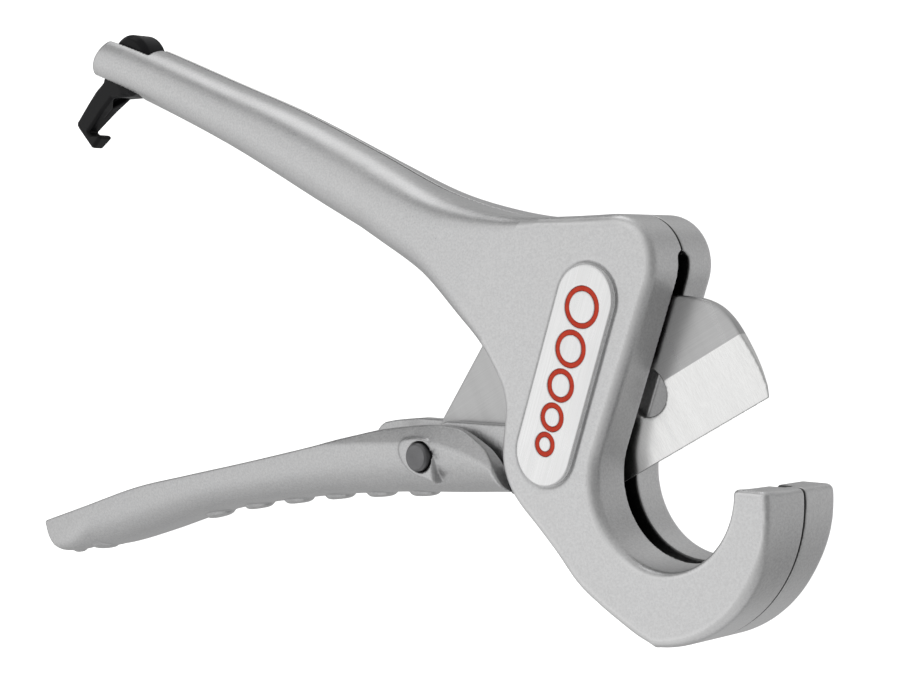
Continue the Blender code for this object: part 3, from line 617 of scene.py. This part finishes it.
def make_body_halves():
    """Both castings: a rounded upper handle that flattens into the head and the hook."""
    step = 0.42
    x, y = axis(-177, 69, step), axis(-44.5, 116, step)
    near_middle = [-0.1, 0.05, 0.2, 0.35, 0.55, 0.8, 1.1, 1.45, 1.8, 2.1, 2.4]
    z = np.concatenate([near_middle, axis(2.8, 13.2, step)])
    gx, gy = np.meshgrid(x, y, indexing="ij")
    middle, face = depth_inside(body_outline(0), x, y), depth_inside(body_outline(1), x, y)

    # Half thickness and the width and height of the edge's rounding, along the upper handle.
    along = 0.926 * gx - 0.378 * gy
    stations = [-198.6, -170.9, -141, -111.4, -80, -53.8, -34, -20]
    thick = np.interp(along, stations, [8.1, 8.3, 8.6, 9.3, 10.25, 11.5, 12.2, HALF])
    wide = np.interp(along, stations, [7.3, 7.7, 8.2, 9.2, 9.4, 7.6, 4.4, 2.5])
    tall = np.interp(along, stations, [8.1, 8.3, 8.6, 9.3, 9.8, 7.6, 4.4, 2.5])

    # The edge is crisper round the mouth and at the hook's tip.
    mouth = (SEAT_AT[0] - DRAFT_X, SEAT_AT[1] - DRAFT_Y)
    to_seat = np.hypot(gx - mouth[0], gy - mouth[1]) - SEAT_RADIUS
    inner_rim = smoothstep(1.2, 0.4, np.abs(to_seat - face)) * smoothstep(26, 44, gx)
    tip = smoothstep(46, 53, gx) * smoothstep(-26, -12, gy)
    crisp = 1 - 0.48 * np.maximum(inner_rim, tip)
    wide, tall = wide * crisp, tall * crisp

    # The upper handle's end, cut by two planes.
    end = np.maximum(-0.90 * (gx + 171.2) + 0.436 * (gy - 105.1),
                     -0.80 * (gx + 169.6) + 0.60 * (gy - 104.2))

    slot = depth_inside(blade_slot_outline(), x, y)
    cavity = depth_inside(ear_cavity_outline(), x, y)
    corners = turned([(-30, -18), (9, -18), (9, 18), (-30, 18)], -20.4, LATCH_AT)
    fork = depth_inside(corners, x, y)
    into_end = np.clip((gy - SLOT_TOP + 2.0) / 2.0, 0, 1)
    rounded_end = SLOT_HALF * np.sqrt(1 - into_end ** 2)[:, :, None]
    slot_height = np.where(gx[:, :, None] > 20, rounded_end, SLOT_HALF)

    def pocket(depth_2d, height):
        """A pocket of that outline, cut from the mid-plane up to a height."""
        return np.maximum(-depth_2d[:, :, None], z - height)

    def half_casting(depth):
        """Half of the body, its edges rounded as an ellipse of wide by tall."""
        side = np.maximum(0, 1 - depth / wide[:, :, None])
        up = np.maximum(0, (z - (thick - tall)[:, :, None]) / tall[:, :, None])
        shell = (np.sqrt(side ** 2 + up ** 2) - 1) * np.minimum(wide, tall)[:, :, None]
        shell = both(shell, end[:, :, None] + 0 * z, 1.1)
        shell = both_bevelled(shell, SEAM - z + 0 * shell, 0.3)
        shell = without(shell, pocket(slot, slot_height), 0.25)
        shell = without(shell, pocket(cavity, CAVITY_HALF), 0.3)
        return without(shell, pocket(fork, FORK_HALF), 0.3)

    drafted = middle[:, :, None] + (face - middle)[:, :, None] * np.clip(z / HALF, 0, 1)
    recess = stadium_depth(BADGE_LOW, BADGE_HIGH, BADGE_RADIUS + 0.5, x, y)
    badge_pocket = np.maximum(-recess[:, :, None], (HALF - 0.6) - z)
    near = without(half_casting(drafted), badge_pocket, 0.7)
    near_half = solid("cast_half_near", near, (x, y, z), "body", CAST,
                      ["body_half_near"], 170000)
    mark_worn_highlit_edges(near_half, x, y, face, wide, thick)

    far = cut_screw_seats(half_casting(middle[:, :, None] + 0 * z), gx, gy, z)
    far_half = solid("cast_half_far", far, (x, y, z), "body", CAST,
                     ["body_half_far"], 150000, mirror=True)
    mark_worn_highlit_edges(far_half, x, y, middle, wide, thick)


# ---- lower handle ---------------------------------------------------------------------------------

def ear_outline():
    """One of the two ears that carry the grip on the pivot's bush."""
    eye = arc((0, 0), 9.6, -148, 148)
    return np.vstack([eye, [(-34.0, 5.0), (-43.0, 0.5), (-50.0, -12.4), (-14.6, -10.6)]])


def make_lower_handle():
    """The grip: a bent channel, open upwards, with pads on its belly and two ears in the head."""
    step = 0.45
    x, y, z = axis(-191, 12, step), axis(-44, 12, step), axis(-13, 13, step)
    gx, gy = np.meshgrid(x, y, indexing="ij")
    rim_line = smooth_through([(-195.0, -34.3), (-189.5, -32.6), (-170.8, -26.8), (-146.9, -19.4),
                               (-125.6, -14.6), (-102.1, -9.5), (-85.3, -5.7), (-73.4, -2.9),
                               (-67.0, -1.2), (-59.8, 0.5), (-52.7, 2.1), (-44.0, 3.4),
                               (-35.5, 4.3), (-28.9, 4.1), (-25.6, 3.6), (-22.4, 2.3), (-19.1, 0.6),
                               (-16.9, -0.7), (-15.0, -2.5), (-13.4, -4.3), (-9.0, -8.5),
                               (14.0, -14.0)])
    belly_line = smooth_through([(-195.0, -41.6), (-184.0, -41.5), (-178.0, -40.8), (-170.0, -39.2),
                                 (-162.8, -37.6), (-147.1, -33.0), (-129.5, -27.3), (-118.6, -24.3),
                                 (-104.0, -21.3), (-89.0, -18.8), (-74.2, -16.6), (-59.3, -14.9),
                                 (-46.2, -13.7), (-30.0, -12.6), (-8.5, -10.8), (14.0, -9.6)])
    rim = np.interp(x, rim_line[:, 0], rim_line[:, 1])[:, None, None]
    belly = np.interp(x, belly_line[:, 0], belly_line[:, 1])[:, None, None]
    px, py, pz = x[:, None, None], y[None, :, None], z[None, None, :]

    # Raised pads along the belly.
    pads = 0
    for centre in (-124.1, -107.9, -92.0, -76.3, -60.9, -45.7):
        spread = np.sqrt(((px - centre) / 3.7) ** 2 + (pz / 4.4) ** 2)
        pads = pads + 1.25 * np.sqrt(np.clip(1 - spread ** 4, 0, 1))
    for centre in (-179.6, -170.4):
        spread = np.sqrt(((px - centre) / 3.0) ** 2 + ((pz - 4) / 4.0) ** 2)
        pads = pads + 0.7 * np.sqrt(np.clip(1 - spread ** 4, 0, 1))

    # The outer skin, a rounded channel that gets squarer towards its free end.
    low = belly - pads
    drop = np.maximum(rim - py, 0) / np.maximum(rim - low, 3)
    power = 2.7 + 4.0 * smoothstep(-168, -184, px)
    outer = ((drop ** power + (np.abs(pz) / HALF) ** power) ** (1 / power) - 1) * 11

    # The far cheek stands higher than the near one by the button.
    raised = np.interp(x, [-75, -72.6, -71.1, -69.6, -66.2, -60.8, -55.4, -51.5, -44, -35],
                       [0, 2.1, 3.4, 3.9, 3.7, 3.1, 2.4, 1.6, 0.6, 0])[:, None, None]
    far_lift = raised * smoothstep(0, -1, pz)
    shell = both(outer, py - rim - far_lift, 0.5)

    # The hollow, narrower near the ears.
    top = rim + 6
    inside = np.maximum(top - py, 0) / np.maximum(top - (belly + 2.2), 3)
    half_wide = 9.65 - 2.3 * smoothstep(-64, -52, px) * smoothstep(-9, -3, py - rim)
    channel = ((inside ** 3.6 + (np.abs(pz) / half_wide) ** 3.6) ** (1 / 3.6) - 1) * 9
    shell = without(shell, channel, 0.35)

    # The front, clear of the head's boss, and the free end.
    front = GRIP_FRONT_RADIUS - np.hypot(gx, gy)
    shell = both(shell, front[:, :, None] + 0 * pz, 0.8)
    shell = both(shell, px - GRIP_FRONT_X + 0 * shell, 0.5)
    end_line = smooth_through([(-30.0, -189.8), (-32.6, -189.3), (-36.7, -187.7), (-39.0, -186.0),
                               (-40.6, -184.0), (-41.8, -181.4), (-44.5, -172.0)])
    order = np.argsort(end_line[:, 0])
    end = np.interp(y, end_line[order, 0], end_line[order, 1])[None, :, None] - px
    shell = both(shell, end + 0 * pz, 0.4)

    # A facet leaning inwards above a ridge on the near cheek.
    line = smooth_through([(-80.0, -3.9), (-72.4, -2.8), (-64.3, -2.0), (-46.6, -0.9),
                           (-41.5, -0.5), (-32.4, -0.2), (-24.8, -1.5), (-18.4, -3.2),
                           (-13.6, -4.8), (-11.4, -5.6), (0.0, -10.0)])
    ridge = np.interp(x, line[:, 0], line[:, 1])[:, None, None]
    lean = math.radians(FACET_LEAN)
    facet = (pz - HALF + 0.1) * math.cos(lean) + (py - ridge) * math.sin(lean)
    shell = both(shell, facet, 0.1)

    notch = np.maximum(px - NOTCH_X, np.abs(pz) - NOTCH_HALF) + 0 * py
    shell = without(shell, notch, 0.5)

    # A raised boss round the button, the button's hole, and room for its collar.
    radial = np.hypot(px - BUTTON_AT[0], py - BUTTON_AT[1])
    boss = smooth_through([(-32.8, -0.3), (-34.2, 0.8), (-37.0, 1.2), (-40.4, 1.0), (-43.0, 0.2),
                           (-44.1, -1.8), (-43.3, -4.4), (-41.3, -6.6), (-38.5, -8.1),
                           (-34.8, -9.0), (-31.8, -9.8)], 5)
    boss = np.vstack([boss, [(-31.4, -9.9), (-32.0, -6.1), (-32.4, -2.7)]])
    raised_pad = both_bevelled(-depth_inside(boss, x, y)[:, :, None] + 0 * pz,
                               np.maximum(pz - BOSS_TOP, BOSS_BASE - pz) + 0 * px, 0.6)
    shell = either(shell, raised_pad, 0.15)
    shell = without(shell, np.maximum(radial - BUTTON_HOLE_RADIUS, -pz), 0.15)
    collar_room = np.maximum(radial - COLLAR_ROOM_RADIUS, np.abs(pz - ROOM_LEVEL) - 1.9)
    shell = without(shell, collar_room)

    # The ears, and the bores through them; the rooms are cut again after the ears' fillet.
    ears = -depth_inside(ear_outline(), x, y)[:, :, None]
    ears = both(ears + 0 * pz, np.abs(np.abs(pz) - EAR_LEVEL) - EAR_HALF, 0.3)
    shell = either(shell, ears, 0.8)
    shell = without(shell, np.hypot(gx, gy)[:, :, None] - BUSH_HOLE_RADIUS + 0 * pz, 0.2)
    shell = without(shell, np.maximum(radial - BUTTON_HOLE_RADIUS, np.abs(pz) - 7.5))
    shell = without(shell, collar_room)
    shell = without(shell, np.maximum(radial - CLIP_ROOM_RADIUS, np.abs(pz + ROOM_LEVEL) - 1.95))
    solid("channel_grip", shell, (x, y, z), "handle", GRIP_CAST,
          ["lower_handle"], 170000)


# ---- blade ----------------------------------------------------------------------------------------

def make_blade():
    """A flat blade, ground on the near side along the cutting edge, with a window and a tail."""
    step = 0.3
    x, y = axis(-45, 60, step), axis(-13, 39, step)
    z = np.array([-1.6, -1.4, -1.25, -1.1, -0.9, -0.6, -0.3, 0, 0.3, 0.6, 0.9, 1.1, 1.25, 1.4, 1.6])
    edge, reach = math.radians(EDGE_ANGLE), EDGE_REACH
    foot = np.array([math.sin(edge), -math.cos(edge)]) * reach
    way = np.array([math.cos(edge), math.sin(edge)])
    tip, heel = foot + way * EDGE_END, foot + way * EDGE_START
    spine = smooth_through([(55.7, 17.4), (54.3, 21.0), (52.3, 24.8), (49.5, 29.1), (47.1, 32.0),
                            (44.1, 34.4), (40.6, 35.9), (36.0, 36.7), (30.0, 36.9)])
    crown = arc((-13.5, 30.2), 6.5, 90, 150)
    tail = arc(BUTTON_AT, 6.4, 160, 270)
    eye = arc((0, 0), 10.3, 228, 275)
    outline = np.vstack([[tip], spine, crown, [(-38.8, 5.3)], tail, [(-13.0, -8.1)], eye, [heel]])
    gx, gy = np.meshgrid(x, y, indexing="ij")
    depth = depth_inside(outline, x, y)[:, :, None]
    pz = z[None, None, :]
    shell = both_bevelled(-depth + 0 * pz, np.abs(pz) - BLADE_HALF + 0 * depth, 0.25)
    from_edge = (-math.sin(edge) * gx + math.cos(edge) * gy + reach)[:, :, None]
    slope = math.atan2(GRIND_DEPTH, GRIND_WIDTH)
    grind = (pz - (EDGE_LAND - BLADE_HALF)) * math.cos(slope) - from_edge * math.sin(slope)
    shell = np.maximum(shell, grind)
    holes = (((0, 0), BUSH_HOLE_RADIUS), (WINDOW_AT, WINDOW_RADIUS), (BUTTON_AT, BUTTON_HOLE_RADIUS))
    for centre, radius in holes:
        hole = np.hypot(gx - centre[0], gy - centre[1])[:, :, None] - radius + 0 * pz
        shell = without(shell, hole, 0.2)
    solid("ground_blade", shell, (x, y, z), "handle", BLADE, ["blade"], 60000)


# ---- badge ----------------------------------------------------------------------------------------

def make_badge():
    """The badge plate with a row of ring grooves, and the enamel in them as a piece of its own."""
    step = 0.2
    x, y = axis(-6, 25, step), axis(-9, 45.5, step)
    z = HALF + np.concatenate([axis(-1.0, 0.2, 0.2), [0.35, 0.5, 0.62, 0.74, 0.86, 0.98, 1.1, 1.25]])
    depth = stadium_depth(BADGE_LOW, BADGE_HIGH, BADGE_RADIUS, x, y)[:, :, None]
    plate = both(-depth + 0 * z,
                 np.maximum(z - HALF - BADGE_PROUD, HALF - 0.7 - z) + 0 * depth, 0.25)
    gx, gy = np.meshgrid(x, y, indexing="ij")
    low, high = np.array(BADGE_LOW), np.array(BADGE_HIGH)
    groove = 1e3
    for share, radius in BADGE_RINGS:
        centre = low + (high - low) * share
        ring = np.abs(np.hypot(gx - centre[0], gy - centre[1]) - radius) - RING_HALF
        groove = np.minimum(groove, ring)
    cut = np.maximum(groove[:, :, None], HALF + GROOVE_FLOOR - z)
    plate = without(plate, cut, 0.08)
    solid("badge", plate, (x, y, z), "body", BADGE, ["badge_plate"], 60000)
    heights = np.maximum(z - HALF - ENAMEL_TOP, HALF + ENAMEL_FLOOR - z)
    fill = both(groove[:, :, None] + 0.04 + 0 * z, heights + 0 * groove[:, :, None], 0.08)
    solid("badge_enamel", fill, (x, y, z), "body", ENAMEL, (), 40000)


# ---- latch ----------------------------------------------------------------------------------------

def make_latch():
    """The latch lever: a round hub, an arm that tapers to its hook, and a hollow in its web."""
    step = 0.28
    x, y, z = axis(-28, 11, step), axis(-26, 11, step), axis(-5, 5, step)
    hub = arc((0, 0), 8.9, -62, 150)
    arm = [(-12.2, -4.0), (-16.6, -6.5), (-21.2, -10.0), (-27.0, -14.7), (-27.2, -16.0),
           (-26.4, -17.0), (-20.4, -22.7), (-19.2, -22.9), (-15.6, -20.2), (-15.7, -19.4),
           (-16.5, -19.1), (-20.1, -18.9), (-21.3, -18.0), (-13.6, -12.4), (-8.0, -8.9),
           (0.2, -8.9)]
    outline = np.vstack([hub, arm])
    depth = depth_inside(outline, x, y)[:, :, None]
    px, py, pz = x[:, None, None], y[None, :, None], z[None, None, :]
    along = -0.81 * px - 0.59 * py
    half_thick = np.clip(4.4 - (along - 7.0) * 0.105, 2.0, 4.4)
    rounding = 0.7 + 0.7 * smoothstep(9, 5, along)
    shell = both_bevelled(-depth + 0 * pz, np.abs(pz) - half_thick, rounding)
    hollow = [(-7.0, -11.5), (-5.0, -8.0), (-8.6, -6.8), (-16.8, -12.3), (-15.5, -15.5)]
    web = depth_inside(hollow, x, y)[:, :, None]
    web_half = np.clip((16.6 - along) * 0.62, 0.01, 2.4)
    shell = without(shell, both(-web + 0 * pz, np.abs(pz) - web_half, 0.2), 0.2)
    solid("latch_lever", shell, (x, y, z), "latch", PLASTIC, ["latch"], 40000,
          at=(*LATCH_AT, 0))


# ---- fasteners ------------------------------------------------------------------------------------

def make_button():
    """The whole push pin: chamfered face, retaining collar, and the groove for its clip."""
    x = y = axis(-5, 5, 0.16)
    z = axis(-7.3, HALF + 1.9, 0.2)
    radial = np.hypot(*np.meshgrid(x, y, indexing="ij"))[:, :, None]
    top = (BUTTON_HIGH.z - PIVOT.z) / MM
    flat = 0 * radial
    pin = both_bevelled(radial - 3.5 + 0 * z, np.maximum(z - top, 7.0 - z) + flat, 0.5)
    stem = both_bevelled(radial - 3.2 + 0 * z, np.maximum(z - 8.0, -7.0 - z) + flat, 0.3)
    collar = both(radial - 4.55 + 0 * z, np.abs(z - 8.95) - 0.33 + flat, 0.1)
    groove = np.maximum(2.4 - radial + 0 * z, np.abs(z + 6.35) - 0.36 + flat)
    shell = without(either(either(pin, stem), collar), groove)
    solid("button_pin", shell, (x, y, z), "button", DARK_STEEL, ["blade_button"], 30000,
          at=(*BUTTON_AT, 0))


def socket_screw(name, node, material, head_radius, head_height, shank, flats, step, depth):
    """A hexagon-socket fastener, head towards the far side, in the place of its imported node."""
    low, high = (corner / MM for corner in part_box(node))
    centre = (low + high) / 2 - PIVOT / MM
    length = high.z - low.z
    x = y = axis(-head_radius - 0.5, head_radius + 0.5, step)
    z = np.concatenate([axis(-0.4, head_height + 0.4, step),
                        axis(head_height + 1.2, length + 0.8, 0.6)])
    gx, gy = np.meshgrid(x, y, indexing="ij")
    radial = np.hypot(gx, gy)[:, :, None]
    head = both_bevelled(radial - head_radius + 0 * z, np.maximum(-z, z - head_height) + 0 * radial,
                         0.35)
    stem = both_bevelled(radial - shank + 0 * z, np.maximum(1 - z, z - length) + 0 * radial, 0.4)
    sides = [gx * math.cos(a) + gy * math.sin(a) for a in np.radians(range(0, 360, 60))]
    hexagon = np.max(sides, axis=0)[:, :, None] - flats / 2
    shell = without(either(head, stem), np.maximum(hexagon, z - depth), 0.1)
    base = low.z - PIVOT.z / MM
    solid(name, shell, (x, y, z), "body", material, [node], 16000,
          at=(centre.x, centre.y, base))


def make_screws():
    """The four screws and the pivot's shoulder bolt, with hexagon sockets."""
    for i in range(1, 5):
        socket_screw("socket_screw_%d" % i, "body_screw_%d" % i, DARK_STEEL,
                     head_radius=3.5, head_height=3.2, shank=2.0, flats=3.2, step=0.16, depth=1.7)
    socket_screw("shoulder_bolt", "pivot_bolt", ZINC,
                 head_radius=6.4, head_height=2.8, shank=3.0, flats=5.2, step=0.22, depth=1.8)


def make_materials_for_kept_nodes():
    """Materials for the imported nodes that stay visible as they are."""
    kept = {"blade_rivet": ZINC, "button_clip": SPRING, "button_spring": SPRING, "dowel_pin_1": ZINC,
            "dowel_pin_2": ZINC, "latch_pin": ZINC, "latch_washer_far": SPRING,
            "latch_washer_near": SPRING, "pivot_bush": BRONZE, "return_spring": SPRING,
            "thrust_washer_far": BRONZE, "thrust_washer_near": BRONZE}
    for name, material in kept.items():
        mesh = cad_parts[name].data
        mesh.materials.clear()
        mesh.materials.append(material)


# ---- stage ----------------------------------------------------------------------------------------

# Lobes of the studio's light: direction, angle where it is full, angle where it ends, strength.
STUDIO = [
    ((0, 0, 1), 179.5, 180, 0.389),
    ((-0.81, 0.51, 0.30), 45, 110, 0.29),
    ((-0.66, 0.65, 0.38), 4, 22, -0.17),
    ((-0.82, 0.19, -0.55), 14, 55, -0.34),
    ((-0.38, 0.92, -0.01), 4, 22, 1.33),
    ((-0.37, -0.11, -0.92), 14, 55, 0.17),
    ((-0.50, 0.86, 0.12), 8, 36, -0.80),
    ((0.22, -0.98, -0.03), 8, 36, 0.14),
    ((0.52, -0.56, -0.64), 4, 30, -0.13),
    ((-0.71, 0.16, 0.68), 4, 22, 0.06),
    ((0.72, 0.02, -0.69), 8, 44, 0.14),
    ((0.94, 0.17, 0.30), 30, 80, -0.07),
    ((-0.59, 0.76, 0.25), 4, 22, 0.43),
    ((-0.55, -0.30, 0.78), 6, 28, 0.24),
    ((-0.45, 0.70, 0.55), 6, 30, 0.16),
    ((0.10, -0.90, 0.42), 15, 60, 0.14),
]


def make_floor():
    """A plain pale floor that glossy surfaces don't see."""
    mesh = bpy.data.meshes.new("floor")
    size = 3.0
    mesh.from_pydata([(-size, -size, 0), (size, -size, 0), (size, size, 0),
                      (-size, size, 0)], [], [(0, 1, 2, 3)])
    floor = bpy.data.objects.new("floor", mesh)
    floor.location.z = -0.0002
    bpy.context.scene.collection.objects.link(floor)
    material = bpy.data.materials.new("floor")
    material.use_nodes = True
    shader = material.node_tree.nodes["Principled BSDF"]
    shader.inputs["Base Color"].default_value = (0.93, 0.93, 0.93, 1)
    shader.inputs["Roughness"].default_value = 0.9
    shader.inputs["Specular IOR Level"].default_value = 0.1
    shader.inputs["Emission Color"].default_value = (1, 1, 1, 1)
    shader.inputs["Emission Strength"].default_value = 0.9
    mesh.materials.append(material)
    floor.visible_glossy = False


def make_world():
    """A soft studio: broad light from the upper left, a strip above the handles, grey elsewhere."""
    world = bpy.data.worlds.new("studio")
    bpy.context.scene.world = world
    world.use_nodes = True
    tree = world.node_tree
    direction = tree.nodes.new("ShaderNodeTexCoord").outputs["Generated"]

    def lobe(centre, inner, outer, strength):
        """Light from round a direction, full within the inner angle and gone at the outer."""
        dot = tree.nodes.new("ShaderNodeVectorMath")
        dot.operation = "DOT_PRODUCT"
        dot.inputs[1].default_value = Vector(centre).normalized()
        tree.links.new(direction, dot.inputs[0])
        fade = tree.nodes.new("ShaderNodeMapRange")
        fade.interpolation_type = "SMOOTHSTEP"
        fade.inputs["From Min"].default_value = math.cos(math.radians(outer))
        fade.inputs["From Max"].default_value = math.cos(math.radians(inner))
        fade.inputs["To Max"].default_value = strength
        tree.links.new(dot.outputs["Value"], fade.inputs["Value"])
        return fade.outputs["Result"]

    total = None
    for part in STUDIO:
        value = lobe(*part)
        if total is None:
            total = value
            continue
        add = tree.nodes.new("ShaderNodeMath")
        add.operation = "ADD"
        tree.links.new(total, add.inputs[0])
        tree.links.new(value, add.inputs[1])
        total = add.outputs["Value"]
    least = tree.nodes.new("ShaderNodeMath")
    least.operation = "MAXIMUM"
    least.inputs[1].default_value = 0.04
    tree.links.new(total, least.inputs[0])
    background = tree.nodes["Background"]
    background.inputs["Color"].default_value = (1, 1, 1, 1)
    tree.links.new(least.outputs["Value"], background.inputs["Strength"])


def make_camera():
    """The photograph's view: from the right of the near face, half a metre away."""
    azimuth, elevation = math.radians(42.2), math.radians(2.2)
    flat = math.cos(elevation)
    back = Vector((math.sin(azimuth) * flat, math.sin(elevation), math.cos(azimuth) * flat))
    right = Vector((math.cos(azimuth), 0, -math.sin(azimuth)))
    up = back.cross(right)
    target = PIVOT + Vector((-37.5, 25.5, 0)) * MM
    camera = bpy.data.objects.new("camera", bpy.data.cameras.new("camera"))
    camera.data.lens = 80
    camera.data.sensor_width = 36
    camera.data.clip_start = 0.01
    turn = Matrix((right, up, back)).transposed().to_4x4()
    camera.matrix_world = Matrix.Translation(target + back * 0.5) @ turn
    bpy.context.scene.collection.objects.link(camera)
    bpy.context.scene.camera = camera


make_body_halves()
make_lower_handle()
make_blade()
make_badge()
make_latch()
make_button()
make_screws()
make_materials_for_kept_nodes()
make_floor()
make_world()
make_camera()
bpy.context.scene.view_settings.view_transform = "Standard"
